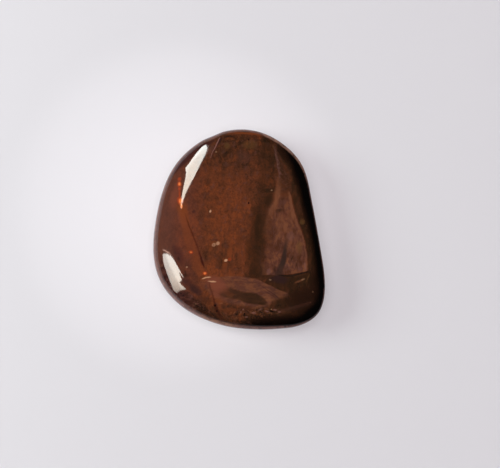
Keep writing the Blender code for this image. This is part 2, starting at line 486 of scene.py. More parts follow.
# Strips along Y: (y, left side, right side, strength).
OLIVE_BAND = [
    (23.4, 5.8, 9.2, 1.0), (20.5, 5.6, 9.0, 0.7), (16.6, 4.8, 9.0, 0.65), (13.5, 5.0, 8.8, 0.5),
    (11.0, 4.8, 8.7, 0.4), (7.7, 4.8, 8.3, 0.65), (4.7, 3.9, 7.3, 0.75), (1.7, 3.1, 6.6, 0.9),
    (-1.5, 2.6, 6.2, 0.9), (-3.5, 2.0, 6.4, 0.9), (-5.6, 1.6, 6.2, 0.92), (-7.6, 2.2, 6.0, 0.9),
    (-10.0, 2.4, 7.4, 1.0), (-11.0, 2.2, 9.5, 1.0), (-12.2, 1.6, 10.0, 0.5),
]
UPPER_VEIL = [
    (19.3, 8.5, 9.0, 0.0), (18.3, 8.5, 9.3, 0.6), (16.9, 8.8, 9.8, 0.7), (15.5, 9.1, 10.5, 0.75),
    (14.1, 9.3, 11.4, 0.75), (12.7, 9.6, 12.0, 0.75), (11.3, 9.5, 12.3, 0.7),
    (9.9, 9.3, 12.4, 0.6), (8.4, 9.1, 12.3, 0.4), (7.0, 8.8, 12.4, 0.0),
]
VEIL = [
    (8.4, 9.6, 12.4, 0.0), (7.0, 9.0, 12.4, 0.5), (5.6, 8.2, 12.8, 0.75), (4.2, 7.5, 13.1, 0.8),
    (2.8, 7.2, 13.6, 0.8), (1.4, 7.2, 14.2, 0.8), (-0.5, 6.9, 14.8, 0.85), (-2.4, 7.3, 15.4, 0.9),
    (-4.8, 6.9, 15.9, 0.9), (-7.1, 6.4, 16.2, 0.9), (-9.5, 5.8, 16.2, 0.9), (-11.4, 6.4, 16.2, 0.9),
]
VEIL_FRONT = [(4.0, -11.1), (7.4, -11.05), (9.1, -11.2), (11.1, -10.9), (15.4, -10.3), (17.0, -9.9)]
MAUVE_STREAK = [
    (20.5, 8.2, 8.5, 0.0), (19.3, 8.4, 8.9, 0.35), (18.3, 8.5, 9.1, 0.8), (16.9, 8.8, 9.3, 0.85),
    (15.5, 9.1, 9.6, 0.85), (14.1, 9.3, 9.9, 0.75), (12.7, 9.5, 10.0, 0.6), (10.8, 9.5, 10.0, 0.0),
]
LEFT_STREAK = [
    (12.7, 9.1, 9.7, 0.0), (11.3, 9.1, 9.9, 0.45), (9.9, 8.9, 10.0, 0.65), (8.2, 8.5, 10.0, 0.8),
    (7.0, 8.5, 9.8, 0.85), (5.8, 8.1, 9.2, 0.85), (4.7, 7.5, 8.8, 0.8), (3.2, 6.9, 8.4, 0.55),
    (1.8, 6.4, 8.2, 0.25), (0.4, 5.9, 7.9, 0.1), (-2.9, 5.1, 7.5, 0.0),
]
RIGHT_STREAK = [
    (8.9, 11.6, 11.8, 0.0), (8.1, 11.7, 12.2, 0.9), (7.0, 11.9, 12.5, 0.9), (5.8, 12.1, 12.7, 0.9),
    (4.7, 12.2, 13.0, 0.9), (3.5, 12.4, 13.3, 0.9), (2.3, 12.8, 13.7, 0.7), (0.9, 13.5, 14.2, 0.6),
    (-0.5, 14.2, 14.7, 0.55), (-2.4, 15.0, 15.4, 0.5), (-4.8, 15.5, 15.8, 0.5),
    (-7.1, 15.8, 16.2, 0.6), (-9.0, 15.7, 16.2, 0.8), (-10.2, 15.2, 16.1, 0.6),
    (-10.9, 15.0, 15.9, 0.0),
]
DARK_STREAK = [
    (-1.9, 11.1, 11.3, 0.0), (-3.4, 10.9, 11.5, 0.7), (-4.8, 10.6, 11.5, 0.9),
    (-6.2, 10.3, 11.4, 1.0), (-7.6, 9.9, 11.3, 1.0), (-9.0, 9.4, 10.9, 0.9),
    (-10.4, 8.9, 10.5, 0.75), (-11.8, 8.5, 10.3, 0.7),
]
RIGHT_SHADE = [
    (21.0, 8.8, 30.0, 0.9), (18.5, 9.4, 30.0, 0.85), (16.9, 10.0, 30.0, 0.85),
    (14.1, 11.6, 30.0, 0.85), (11.3, 12.5, 30.0, 0.8), (8.3, 12.5, 30.0, 0.8),
    (4.7, 13.3, 30.0, 0.8), (1.7, 14.1, 30.0, 0.85), (-1.7, 15.3, 30.0, 0.85),
    (-5.8, 16.1, 30.0, 0.85), (-9.5, 16.4, 30.0, 0.85), (-10.6, 14.0, 30.0, 0.85),
    (-11.4, 8.4, 30.0, 0.85), (-13.2, 6.2, 30.0, 0.85), (-15.0, 8.0, 30.0, 0.85),
    (-18.0, 8.6, 30.0, 0.85), (-20.0, 6.4, 30.0, 0.8), (-24.0, 3.4, 30.0, 0.75),
]
# Painted shade: black along the right rim, which faces away from the lights.
RIGHT_RIM_PAINTED_SHADE = [
    (22.8, 7.0, 30.0, 0.3), (20.7, 9.3, 30.0, 0.7), (18.3, 11.1, 30.0, 0.9),
    (16.7, 11.7, 30.0, 1.0), (14.8, 12.4, 30.0, 1.0), (11.3, 13.6, 30.0, 1.0),
    (7.7, 14.5, 30.0, 1.0), (4.2, 15.4, 30.0, 1.0), (0.7, 16.3, 30.0, 1.0),
    (-5.2, 17.4, 30.0, 1.0), (-11.1, 18.0, 30.0, 1.0), (-14.7, 18.4, 30.0, 1.0),
    (-17.0, 18.1, 30.0, 1.0), (-19.4, 16.2, 30.0, 1.0), (-21.7, 14.1, 30.0, 1.0),
    (-24.6, 12.2, 30.0, 1.0),
]
RED_SIDE = [  # redder stone along the fracture's left
    (6.6, -15.2, -12.8, 0.0), (5.1, -14.7, -12.1, 0.6), (3.5, -14.0, -11.9, 0.75),
    (1.8, -13.8, -11.5, 0.7), (-0.1, -13.3, -11.2, 0.6), (-2.4, -12.8, -10.5, 0.5),
    (-5.2, -12.4, -9.8, 0.3), (-8.1, -11.4, -9.1, 0.0),
]
FRACTURE = [
    (3.7, -12.8, -12.5, 0.0), (2.5, -12.4, -12.2, 0.5), (1.1, -12.05, -11.7, 0.7),
    (-0.3, -11.5, -11.15, 0.75), (-1.9, -10.85, -10.5, 0.7), (-3.6, -10.2, -9.8, 0.65),
    (-5.2, -9.6, -9.2, 0.6), (-6.9, -9.1, -8.6, 0.95), (-8.3, -8.7, -8.1, 1.0),
    (-9.1, -8.3, -8.0, 0.9), (-9.5, -8.3, -8.0, 0.0),
]
LOWER_FRACTURE = [
    (-12.5, -7.1, -6.9, 0.0), (-13.5, -6.95, -6.65, 0.7), (-14.9, -6.5, -6.2, 0.7),
    (-16.3, -6.1, -5.7, 0.9), (-17.5, -5.85, -5.35, 0.95), (-18.4, -5.7, -5.1, 1.0),
    (-19.6, -5.2, -4.6, 1.0), (-21.0, -4.5, -3.9, 0.8), (-22.2, -3.9, -3.4, 0.5),
    (-23.4, -3.4, -2.9, 0.3),
]
HAIRLINE = [
    (21.8, -4.50, -4.25, 0.0), (21.2, -4.78, -4.50, 1.0), (20.2, -5.25, -4.97, 1.0),
    (19.0, -5.80, -5.55, 0.85), (17.9, -6.32, -6.10, 0.7), (16.9, -6.70, -6.50, 0.4),
    (16.2, -7.00, -6.90, 0.0),
]
HAIRLINE_SHADE = [
    (21.9, -4.2, -3.7, 0.0), (21.2, -4.5, -4.0, 0.85), (20.2, -4.95, -4.5, 0.7),
    (19.0, -5.5, -5.1, 0.5), (17.6, -6.1, -5.7, 0.45), (16.5, -6.6, -6.2, 0.3),
    (15.5, -6.9, -6.7, 0.0),
]

# Strips along X: (x, front side, rear side, strength).
VEIL_SHADOW = [
    (8.9, -11.20, -11.00, 0.0), (10.0, -11.35, -10.95, 0.8), (11.7, -11.45, -11.05, 0.85),
    (13.6, -11.15, -10.75, 0.9), (15.2, -10.75, -10.35, 0.9), (16.3, -10.55, -10.20, 0.6),
    (17.1, -10.35, -10.10, 0.0),
]
OVAL = [
    (-9.9, -13.4, -13.0, 0.0), (-8.4, -14.0, -12.2, 0.4), (-6.5, -15.6, -11.8, 0.55),
    (-4.0, -17.0, -11.5, 0.65), (-2.0, -17.7, -11.3, 0.75), (0.4, -18.2, -11.4, 0.8),
    (2.7, -18.6, -11.7, 0.85), (4.3, -18.8, -12.0, 0.85), (6.2, -18.6, -12.9, 0.85),
    (8.0, -17.4, -13.8, 0.75), (9.8, -16.5, -14.7, 0.65), (11.1, -16.0, -15.1, 0.65),
    (11.9, -15.9, -15.4, 0.0),
]
OVAL_MIDDLE = [
    (-6.4, -14.9, -14.7, 0.0), (-5.2, -15.3, -14.4, 0.6), (-3.9, -16.0, -14.2, 0.65),
    (-2.0, -16.5, -14.1, 0.7), (-0.4, -16.8, -14.6, 0.8), (1.5, -17.5, -15.1, 0.95),
    (3.4, -17.9, -15.2, 1.0), (5.4, -18.1, -16.0, 0.9), (6.4, -18.1, -16.9, 0.75),
    (7.0, -18.1, -17.7, 0.0),
]
OVAL_LINES = [  # fine dark lines along the oval's upper right
    [(4.2, -13.3, -13.1, 0.0), (5.8, -13.95, -13.75, 0.5), (6.9, -14.75, -14.55, 0.6),
     (8.1, -15.6, -15.4, 0.7), (9.2, -16.4, -16.2, 0.6), (10.0, -16.9, -16.75, 0.0)],
    [(5.6, -14.6, -14.4, 0.0), (6.9, -15.4, -15.2, 0.5), (8.3, -16.3, -16.1, 0.5),
     (9.2, -17.1, -16.9, 0.0)],
    [(-4.0, -12.6, -12.45, 0.0), (0.0, -12.7, -12.5, 0.35), (4.0, -13.0, -12.8, 0.35),
     (6.4, -13.7, -13.5, 0.0)],
]
FRONT_STREAK = [
    (8.9, -20.0, -19.3, 0.0), (10.0, -19.7, -19.2, 0.5), (12.2, -19.3, -18.6, 0.45),
    (14.5, -18.6, -17.9, 0.4), (17.1, -17.8, -17.2, 0.35), (18.3, -17.4, -17.0, 0.0),
]
# Painted shade: black along the right part of the front rim.
FRONT_RIM_PAINTED_SHADE = [
    (-1.0, -40.0, -22.7, 0.0), (2.3, -40.0, -21.9, 0.6), (3.9, -40.0, -21.5, 0.85),
    (7.5, -40.0, -21.2, 0.9), (11.0, -40.0, -20.8, 0.95), (14.5, -40.0, -20.2, 1.0),
    (17.4, -40.0, -18.9, 1.0), (20.4, -40.0, -18.0, 1.0),
]
LEFT_BORDER = [
    (-19.0, -9.5, -5.2, 0.0), (-18.5, -10.4, -6.2, 0.7), (-17.8, -12.1, -8.1, 0.85),
    (-16.8, -13.7, -10.4, 0.9), (-15.9, -15.1, -12.3, 0.9), (-14.7, -16.7, -14.9, 0.9),
    (-13.3, -17.7, -14.9, 0.85), (-11.9, -18.7, -15.1, 0.7), (-10.5, -19.6, -16.3, 0.8),
    (-9.1, -20.4, -17.3, 0.85), (-7.4, -21.3, -18.7, 0.85), (-5.8, -22.0, -20.1, 0.8),
    (-4.1, -22.6, -21.0, 0.5), (-2.6, -22.9, -21.7, 0.1), (-0.8, -23.0, -22.0, 0.2),
    (0.9, -23.2, -22.0, 0.8), (3.5, -23.4, -22.0, 0.8),
]
REAR_BORDER = [
    (-18.0, 8.4, 11.7, 0.0), (-16.6, 11.3, 14.1, 0.6), (-15.2, 13.1, 15.9, 0.8),
    (-13.8, 14.6, 17.2, 0.9), (-11.9, 16.0, 18.7, 0.9), (-10.2, 17.6, 19.6, 0.9),
    (-8.3, 19.2, 20.4, 0.9), (-6.9, 19.9, 20.8, 0.8), (-6.0, 20.4, 21.2, 0.5),
    (-5.0, 20.9, 21.5, 0.0),
]
RED_RIM = [
    (-3.0, 22.75, 23.05, 0.3), (-1.0, 22.65, 23.15, 0.7), (1.0, 22.45, 23.0, 0.9),
    (4.2, 22.3, 22.8, 0.9), (6.2, 21.7, 22.1, 0.0),
]

FACE_FADE = (2.2, 4.0)  # heights between which the face's marks fade in
PAINTED_SHADE_FADE = (3.6, 5.6)  # the same for the painted shade along the right and front rims
PAINTED_RIM_REFLECTION_TILT = [(-0.5, 0.0), (-0.1, 1.0), (0.42, 1.0), (0.66, 0.0)]  # share of the painted rose reflection on the steep rim, by the normal's z
DULL_TILT = [(0.0, 0.3), (0.3, 1.0), (0.68, 1.0), (0.85, 0.0)]  # the same for the worn rim
POLISH_WAVE = 0.002  # height of the faint waves in the polish
SMOOTHEST = 0.02  # roughness, which the polish's noise adds to
ROUGHER = 0.06
GLOSS = 0.5  # specular level, less on the worn rim
WORN_LOSS = 0.38
STONE_IOR = 1.54


class Graph:
    """Adds shader nodes to a material; an input takes a value or another node's output."""

    def __init__(self, tree):
        self.tree = tree

    def feed(self, socket, value):
        if isinstance(value, bpy.types.NodeSocket):
            self.tree.links.new(value, socket)
        elif socket.type == "RGBA":
            socket.default_value = (*value, 1)
        else:
            socket.default_value = value

    def node(self, kind, inputs, output=0, **settings):
        node = self.tree.nodes.new("ShaderNode" + kind)
        for name, value in settings.items():
            setattr(node, name, value)
        for key, value in inputs.items():
            self.feed(node.inputs[key], value)
        return None if output is None else node.outputs[output]

    def maths(self, operation, *values):
        return self.node("Math", dict(enumerate(values)), operation=operation)

    def vector(self, operation, *values, output=0):
        return self.node("VectorMath", dict(enumerate(values)), output, operation=operation)

    def scaled(self, place, factor):
        return self.node("VectorMath", {0: place, "Scale": factor}, operation="SCALE")

    def axis(self, place, name):
        return self.node("SeparateXYZ", {0: place}, name)

    def fade(self, value, start, end):
        """0 up to start, 1 from end on, and smooth between."""
        limits = {"Value": value, "From Min": start, "From Max": end}
        return self.node("MapRange", limits, interpolation_type="SMOOTHSTEP")

    def blend(self, share, color, other):
        return self.node("Mix", {0: share, 6: color, 7: other}, 2, data_type="RGBA")

    def noise(self, place, length, detail=3.0, roughness=0.55):
        """Noise around 0.5 with features about this long."""
        settings = {"Vector": place, "Scale": 1 / length, "Detail": detail, "Roughness": roughness}
        return self.node("TexNoise", settings)

    def curve(self, value, pairs):
        """A smooth curve through (value, result) pairs, level past its ends."""
        node = self.tree.nodes.new("ShaderNodeFloatCurve")
        node.mapping.use_clip = False
        node.mapping.extend = "HORIZONTAL"
        points = node.mapping.curves[0].points
        points[0].location, points[1].location = min(pairs), max(pairs)
        for pair in sorted(pairs)[1:-1]:
            points.new(*pair)
        for point in points:
            point.handle_type = "AUTO_CLAMPED"
        node.mapping.update()
        self.feed(node.inputs["Value"], value)
        return node.outputs[0]


class StonePaint:
    """The stone's colour, built up mark by mark in millimetres."""

    def __init__(self, graph):
        self.graph = graph
        origin = graph.node("TexCoord", {}, "Object")
        self.place = graph.scaled(origin, 1 / MM)
        drift = self.wobble(self.place, 2.9)
        self.bent = self.moved(self.place, drift, 1.6)
        steady = self.moved(self.place, drift, 0.35)
        steady = self.moved(steady, self.wobble(self.bent, 0.5), 0.25)
        self.x, self.y = (graph.axis(steady, name) for name in "XY")
        self.flat = graph.node("CombineXYZ", {"X": self.x, "Y": self.y})
        self.loose = self.moved(self.flat, drift, 1.2)
        self.height = graph.axis(self.bent, "Z")
        self.color = None
        self.dull = None

    def wobble(self, place, length):
        """Noise in all three directions, around 0."""
        settings = {"Vector": place, "Scale": 1 / length, "Detail": 4.0}
        noise = self.graph.node("TexNoise", settings, "Color")
        return self.graph.vector("SUBTRACT", noise, (0.5, 0.5, 0.5))

    def moved(self, place, offset, amount):
        return self.graph.vector("MULTIPLY_ADD", offset, (amount, amount, amount), place)

    def strip(self, along, across, rows, soft):
        """Share of a strip between two curves, with how soft its low and high sides are."""
        graph = self.graph
        low = graph.curve(along, [(row[0], row[1]) for row in rows])
        high = graph.curve(along, [(row[0], row[2]) for row in rows])
        strength = graph.curve(along, [(row[0], row[3]) for row in rows])
        past_low = graph.maths("DIVIDE", graph.maths("SUBTRACT", across, low), soft[0])
        past_high = graph.maths("DIVIDE", graph.maths("SUBTRACT", high, across), soft[1])
        inside = graph.fade(graph.maths("MINIMUM", past_low, past_high), -0.5, 0.5)
        return graph.maths("MULTIPLY", inside, strength)

    def down(self, rows, soft):
        return self.strip(self.y, self.x, rows, soft)

    def across(self, rows, soft):
        return self.strip(self.x, self.y, rows, soft)

    def spot(self, place, x, y, long, wide, tilt, soft):
        """Share of an ellipse, a column through the stone."""
        graph, turn = self.graph, math.radians(tilt)
        ahead = (math.cos(turn) / long, math.sin(turn) / long, 0)
        aside = (-math.sin(turn) / wide, math.cos(turn) / wide, 0)
        offset = graph.vector("SUBTRACT", place, (x, y, 0))
        u = graph.vector("DOT_PRODUCT", offset, ahead, output=1)
        v = graph.vector("DOT_PRODUCT", offset, aside, output=1)
        distance_squared = graph.maths("MULTIPLY_ADD", u, u, graph.maths("MULTIPLY", v, v))
        return graph.fade(distance_squared, 1, (1 - soft) ** 2)

    def paint(self, share, pigment, strength=1.0):
        amount = self.graph.maths("MULTIPLY", share, strength)
        self.color = self.graph.blend(amount, self.color, pigment)

    def patches(self, rows, place):
        for *ellipse, strength, pigment in rows:
            self.paint(self.spot(place, *ellipse), pigment, strength)

    def clouds(self, stretch, length, shift=0.0):
        """Noise stretched along an axis, from another part of the pattern for another shift."""
        place = self.graph.vector("MULTIPLY_ADD", self.bent, stretch, (shift, shift, 0.0))
        return self.graph.noise(place, length, 5.0, 0.66)


def ground(paint):
    """Mottled umber to russet, with slow zones, streaks along Y, a fine grain and a painted mauve
    reflection on the left bevel.
    """
    graph = paint.graph
    slow = paint.clouds((1.0, 0.55, 1.0), 3.0)
    quick = paint.clouds((1.0, 0.8, 1.0), 0.8, 30.0)
    streaks = paint.clouds((1.2, 0.16, 1.0), 1.0, 210.0)
    tone = graph.maths("MULTIPLY_ADD", slow, 1.3, -0.14)
    tone = graph.maths("ADD", tone, graph.maths("MULTIPLY_ADD", quick, 1.5, -0.75))
    streaked = paint.spot(paint.flat, 0.0, -5.0, 9.0, 9.0, 0, 0.8)
    amount = graph.maths("MULTIPLY_ADD", streaks, 1.6, -0.8)
    tone = graph.maths("ADD", tone, graph.maths("MULTIPLY", amount, streaked))
    for x, y, wide, high, amount in ZONES:
        zone = graph.maths("MULTIPLY", paint.spot(paint.loose, x, y, wide, high, 0, 1.0), amount)
        tone = graph.maths("ADD", tone, zone)
    dark = graph.blend(graph.fade(tone, -0.05, 0.38), OLIVE, UMBER)
    warm = graph.blend(graph.fade(tone, 0.30, 0.72), dark, BROWN)
    paint.color = graph.blend(graph.fade(tone, 0.66, 1.1), warm, RUSSET)
    olive_clouds = paint.clouds((1.0, 0.7, 1.0), 1.7, 60.0)
    red_clouds = paint.clouds((1.0, 0.7, 1.0), 1.2, 90.0)
    paint.paint(graph.fade(olive_clouds, 0.53, 0.66), OLIVE, 0.55)
    paint.paint(graph.fade(red_clouds, 0.53, 0.66), RUSSET, 0.52)
    paint.paint(graph.fade(red_clouds, 0.46, 0.34), MAUVE, 0.55)
    grain = graph.noise(paint.place, 0.34, 2.0)
    paint.paint(graph.fade(grain, 0.56, 0.70), SHADE, 0.42)
    paint.paint(graph.fade(grain, 0.44, 0.30), TAN, 0.22)
    paint.paint(graph.fade(paint.x, -6.5, -12.5), ROSEWOOD, 0.35)
    # painted reflection: mauve on the left bevel
    paint.paint(graph.fade(paint.x, -12.5, -17.5), MAUVE, 0.5)


def olive_band(paint):
    paint.paint(paint.down(OLIVE_BAND, (1.8, 1.8)), OLIVE, 0.78)
    paint.patches(BAND_PATCHES, paint.loose)


def veil(paint):
    """The mauve veil, its pale streaks and its dark one."""
    graph = paint.graph
    front = graph.curve(paint.x, VEIL_FRONT)
    behind_front = graph.fade(graph.maths("SUBTRACT", paint.y, front), -0.12, 0.12)
    clouds = paint.clouds((1.1, 0.5, 1.0), 1.2, 120.0)
    tint = graph.blend(graph.fade(clouds, 0.38, 0.48), UMBER, MAUVE)
    tint = graph.blend(graph.fade(clouds, 0.47, 0.62), tint, TAN)
    dim = graph.blend(graph.fade(clouds, 0.42, 0.74), OLIVE, UMBER)
    paint.paint(paint.down(RIGHT_SHADE, (0.5, 1.0)), dim)
    paint.patches(SIDE_PATCHES, paint.loose)
    specks = graph.noise(paint.flat, 0.6, 3.0, 0.7)
    upper = graph.blend(graph.fade(specks, 0.41, 0.66), OLIVE, DUN)
    paint.paint(paint.down(UPPER_VEIL, (0.5, 1.8)), upper)
    paint.paint(paint.down(MAUVE_STREAK, (0.4, 0.6)), ROSE, graph.fade(specks, 0.20, 0.90))
    paint.paint(graph.maths("MULTIPLY", paint.down(VEIL, (3.6, 0.5)), behind_front), tint, 0.85)
    for rows, soft, pigment in (
        (LEFT_STREAK, (0.7, 1.1), TAN),
        (RIGHT_STREAK, (0.5, 0.25), TAN),
        (DARK_STREAK, (0.7, 0.6), SLATE),
    ):
        share = graph.maths("MULTIPLY", paint.down(rows, soft), behind_front)
        paint.paint(share, pigment, graph.maths("MULTIPLY_ADD", clouds, 1.0, 0.35))
    paint.patches(VEIL_PATCHES, paint.loose)
    paint.paint(paint.across(VEIL_SHADOW, (0.25, 0.2)), SHADE)


def oval(paint):
    """The pale oval with its dark middle, and the broken front of the face."""
    graph = paint.graph
    clouds = paint.clouds((0.45, 1.2, 1.0), 1.1, 150.0)
    tint = graph.blend(graph.fade(clouds, 0.30, 0.42), BROWN, MAUVE)
    tint = graph.blend(graph.fade(clouds, 0.40, 0.62), tint, TAN)
    paint.paint(paint.across(OVAL, (1.2, 0.3)), tint, 0.92)
    paint.paint(paint.across(OVAL_MIDDLE, (0.5, 0.6)), OLIVE, 0.85)
    for rows in OVAL_LINES:
        paint.paint(paint.across(rows, (0.18, 0.18)), VIOLET)
    paint.paint(paint.across(FRONT_STREAK, (1.1, 0.8)), MAUVE, 0.6)
    broken = paint.spot(paint.loose, 3.5, -20.1, 9.0, 1.7, 3, 0.9)
    bits = graph.noise(paint.flat, 0.75, 4.0, 0.7)
    paint.paint(graph.maths("MULTIPLY", broken, graph.fade(bits, 0.50, 0.62)), TAN, 0.6)
    paint.paint(graph.maths("MULTIPLY", broken, graph.fade(bits, 0.46, 0.36)), SHADE, 0.75)
    paint.patches(FRONT_PATCHES, paint.loose)


def cracks(paint):
    """The healed fractures and the redder stone beside one."""
    paint.paint(paint.down(RED_SIDE, (1.2, 0.8)), RUSSET)
    paint.paint(paint.down(FRACTURE, (0.4, 0.3)), MAROON, 0.85)
    paint.paint(paint.down(LOWER_FRACTURE, (0.6, 0.5)), MAROON, 0.8)
    paint.paint(paint.down(HAIRLINE_SHADE, (0.25, 0.25)), VIOLET)
    paint.paint(paint.down(HAIRLINE, (0.12, 0.12)), ROSE)


def small_marks(paint):
    paint.patches(SPOTS, paint.flat)
    for x0, y0, x1, y1, wide, strength, pigment in DASHES:
        tilt = math.degrees(math.atan2(y1 - y0, x1 - x0))
        long = math.hypot(x1 - x0, y1 - y0) / 2 + wide
        middle = (x0 + x1) / 2, (y0 + y1) / 2
        dash = paint.spot(paint.flat, *middle, long, wide, tilt, 0.7)
        paint.paint(dash, pigment, strength)


def borders(paint):
    """The dark borders, the painted shade along the right and front rims, the red line in the rear
    rim, and the painted rose reflection on the thin edge.
    """
    graph = paint.graph
    bits = graph.noise(paint.loose, 1.0, 4.0, 0.7)
    left = paint.across(LEFT_BORDER, (0.4, 0.9))
    dark = graph.blend(graph.fade(paint.x, -14.5, -9.0), WINE, SHADE)
    paint.paint(left, graph.blend(graph.fade(bits, 0.50, 0.36), dark, MAUVE), 0.85)
    paint.paint(graph.maths("MULTIPLY", left, graph.fade(bits, 0.50, 0.64)), BLACK, 0.5)
    paint.paint(paint.across(REAR_BORDER, (0.8, 0.5)), WINE, 0.9)
    paint.paint(paint.across(RED_RIM, (0.3, 0.3)), RUSSET)
    # Painted shade along the right and front rims, on the upper part of the edge.
    painted_shade_height = graph.fade(paint.height, *PAINTED_SHADE_FADE)
    paint.paint(graph.maths("MULTIPLY", paint.down(RIGHT_RIM_PAINTED_SHADE, (2.2, 1.0)), painted_shade_height), BLACK)
    paint.paint(graph.maths("MULTIPLY", paint.across(FRONT_RIM_PAINTED_SHADE, (1.0, 2.6)), painted_shade_height), BLACK)
    # Painted reflection: rose on the steep rim, with cream at the rear and tan and cream at the
    # front.
    tilt = graph.axis(graph.node("TexCoord", {}, "Normal"), "Z")
    shoulder = graph.maths("MULTIPLY", graph.fade(paint.x, -2, 8), graph.fade(paint.y, -21, -14))
    clouds = paint.clouds((1.0, 1.0, 1.0), 1.6, 250.0)
    rim_reflection = graph.curve(graph.maths("MULTIPLY_ADD", shoulder, -0.14, tilt), PAINTED_RIM_REFLECTION_TILT)
    rim_reflection = graph.maths("MULTIPLY", rim_reflection, graph.fade(clouds, 0.28, 0.58))
    paint.paint(rim_reflection, ROSE, graph.maths("MULTIPLY_ADD", graph.fade(paint.x, 20, 10), 0.4, 0.5))
    rear = graph.maths("MULTIPLY", graph.fade(paint.x, 2, 9), graph.fade(paint.y, 10, 16))
    paint.paint(graph.maths("MULTIPLY", rim_reflection, rear), CREAM, 0.34)
    front = paint.spot(paint.flat, -5.0, -22.8, 6.5, 2.8, -16, 0.7)
    front = graph.maths("MULTIPLY", rim_reflection, front)
    paint.paint(front, TAN, 0.7)
    paint.paint(front, CREAM, 0.26)
    worn_front = graph.maths("MULTIPLY", graph.fade(paint.y, -6, -15), graph.fade(paint.x, -14, -5))
    worn = graph.maths("MAXIMUM", worn_front, graph.fade(paint.x, -2, 6))
    paint.dull = graph.maths("MULTIPLY", graph.curve(tilt, DULL_TILT), worn)


def stone_material():
    material = bpy.data.materials.new("mookaite")
    material.use_nodes = True
    graph = Graph(material.node_tree)
    shader = material.node_tree.nodes["Principled BSDF"]
    paint = StonePaint(graph)
    ground(paint)
    body = paint.color
    paint.patches(GROUND_PATCHES, paint.loose)
    olive_band(paint)
    veil(paint)
    oval(paint)
    cracks(paint)
    small_marks(paint)
    borders(paint)
    face = graph.fade(paint.height, *FACE_FADE)
    graph.feed(shader.inputs["Base Color"], graph.blend(face, body, paint.color))
    polish = graph.noise(paint.place, 3.0, 4.0)
    graph.feed(shader.inputs["Roughness"], graph.maths("MULTIPLY_ADD", polish, ROUGHER, SMOOTHEST))
    waves = {"Height": graph.noise(paint.place, 0.7, 2.0), "Distance": POLISH_WAVE * MM}
    graph.feed(shader.inputs["Normal"], graph.node("Bump", waves))
    gloss = graph.maths("MULTIPLY_ADD", paint.dull, -WORN_LOSS, GLOSS)
    graph.feed(shader.inputs["Specular IOR Level"], gloss)
    shader.inputs["IOR"].default_value = STONE_IOR
    return material


# ---------------------------------------------------------------- the stage


def direction(azimuth, elevation):
    """Unit vector; azimuth runs anticlockwise from +X, both in degrees."""
    a, e = math.radians(azimuth), math.radians(elevation)
    return Vector((math.cos(a) * math.cos(e), math.sin(a) * math.cos(e), math.sin(e)))


def card_material(name, look):
    """A window with a thin curtain: its glow changes along and across, with slight folds."""
    material = bpy.data.materials.new(name)
    material.use_nodes = True
    tree = material.node_tree
    tree.nodes.clear()
    graph = Graph(tree)
    place = graph.node("TexCoord", {}, "UV")
    along, across = graph.axis(place, "X"), graph.axis(place, "Y")
    folds = graph.noise(graph.vector("MULTIPLY", place, (1.5, 7.0, 1.0)), 1.0, 2.0)
    glow = graph.maths("MULTIPLY", graph.curve(along, look["along"]), look["strength"])
    glow = graph.maths("MULTIPLY", graph.curve(across, look["across"]), glow)
    glow = graph.maths("MULTIPLY", graph.maths("MULTIPLY_ADD", folds, 0.4, 0.8), glow)
    color = graph.blend(graph.fade(along, 0, 1), *look["colors"])
    emission = graph.node("Emission", {"Color": color, "Strength": glow})
    graph.node("OutputMaterial", {"Surface": emission}, None)
    return material


def camera_place():
    distance = WIDTH_SEEN / 2 / math.tan(math.radians(FIELD_OF_VIEW / 2))
    return (Vector(AIM) + direction(CAMERA_AZIMUTH, CAMERA_ELEVATION) * distance) * MM


def camera_turn():
    return direction(CAMERA_AZIMUTH, CAMERA_ELEVATION).to_track_quat("Z", "Y")


def picture_ray(u, v):
    """Direction of the camera's ray through a pixel of the picture."""
    half_width = PICTURE[0] / 2
    slope = math.tan(math.radians(FIELD_OF_VIEW / 2)) / half_width
    ray = Vector(((u - half_width) * slope, (PICTURE[1] / 2 - v) * slope, -1))
    return (camera_turn() @ ray).normalized()


def mirrored(mesh):
    """A function from a pixel to where the camera's ray meets the mesh and where it then goes."""
    mesh.calc_loop_triangles()
    points = [v.co for v in mesh.vertices]
    corners = [tuple(t.vertices) for t in mesh.loop_triangles]
    tree = BVHTree.FromPolygons(points, corners)
    eye = camera_place()

    def bounce(u, v):
        ray = picture_ray(u, v)
        hit, _, number, _ = tree.ray_cast(eye, ray)
        around = corners[number]
        ends = [points[i] for i in around] + [mesh.vertices[i].normal for i in around]
        normal = barycentric_transform(hit, *ends).normalized()
        return hit, ray.reflect(normal)

    return bounce


def lengthways(pixel, start, end):
    """How far along and across a line in the picture a pixel is, in shares of its length."""
    line = Vector(end) - Vector(start)
    offset = Vector(pixel) - Vector(start)
    return offset.dot(line) / line.length_squared, offset.cross(line) / line.length_squared


def reflected_card(name, outline, bounce, look):
    """A flat glowing card, far enough off, whose reflection in the stone has this outline in
    the picture. Nothing else sees it."""
    bounces = [bounce(u, v) for u, v in outline]
    facing = sum((heading for _, heading in bounces), Vector()).normalized()
    corners = []
    for hit, heading in bounces:
        travel = (CARD_DISTANCE * MM - hit.dot(facing)) / heading.dot(facing)
        corners.append(hit + heading * travel)
    mesh = bpy.data.meshes.new(name)
    mesh.from_pydata(corners, [], [range(len(corners))])
    places = mesh.uv_layers.new(name="places")
    for loop in mesh.loops:
        pixel = outline[loop.vertex_index]
        places.data[loop.index].uv = lengthways(pixel, *look["line"])
    mesh.materials.append(card_material(name, look))
    card = bpy.data.objects.new(name, mesh)
    bpy.context.scene.collection.objects.link(card)
    card.visible_camera = False
    card.visible_diffuse = False
    card.visible_shadow = False


